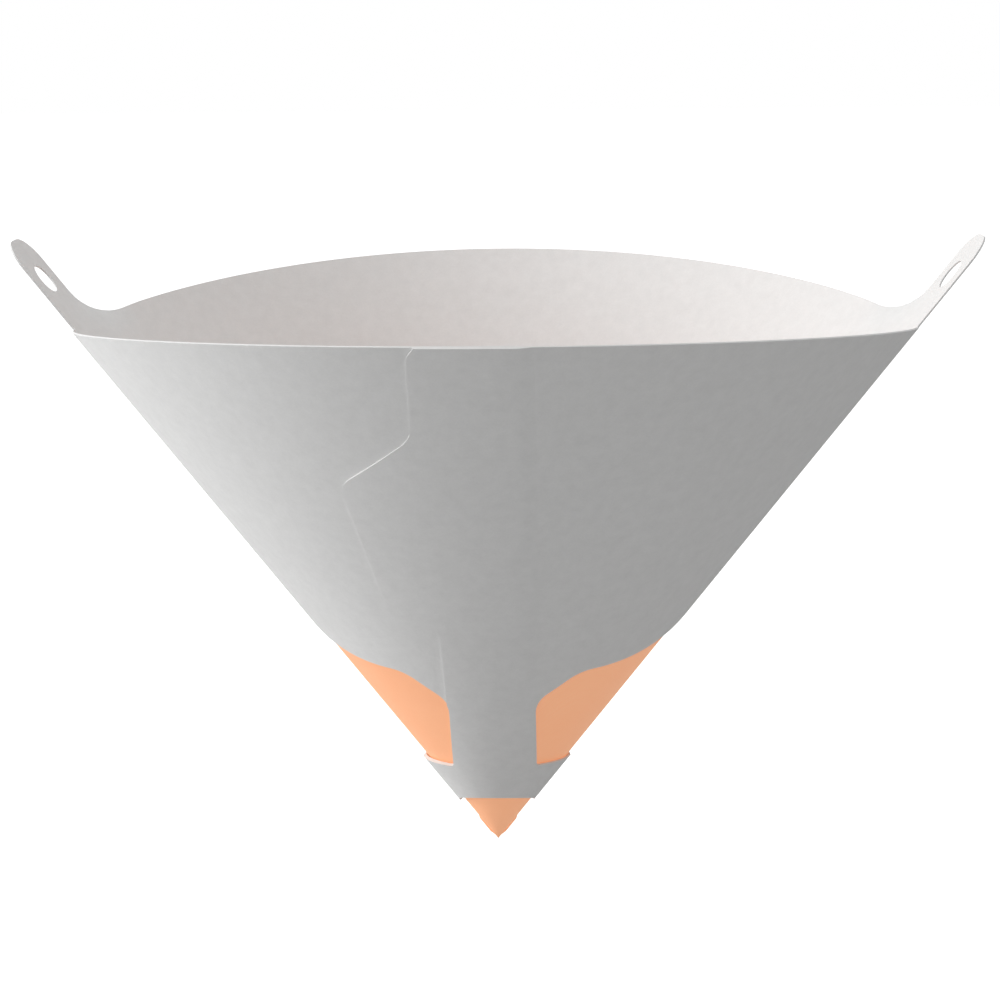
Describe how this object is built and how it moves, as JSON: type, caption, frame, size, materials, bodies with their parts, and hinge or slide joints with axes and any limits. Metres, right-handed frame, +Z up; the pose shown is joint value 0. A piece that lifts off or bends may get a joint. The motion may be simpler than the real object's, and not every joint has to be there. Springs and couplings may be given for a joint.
{
  "type": "cone paint strainer",
  "caption": "Disposable card cone with a woven filter inside, side windows, a glued tabbed lap and two punched hanging ears, opened to an oval mouth",
  "frame": {"origin": "midpoint between the centres of the two ear holes, where the strainer hangs", "axes": "+Z up towards the mouth's open side with the cone's point hanging down, creases and ears on -X and +X, glued lap on the -Y side"},
  "size_m": [0.1934, 0.1457, 0.1225],
  "materials": {
    "card": "uncoated white card with a soft fibrous mottle",
    "woven_mesh": "fine orange woven nylon mesh, slightly glossy threads"
  },
  "bodies": {
    "root": {"paper_cone": "card", "filter_mesh": "woven_mesh"}
  },
  "joints": []
}
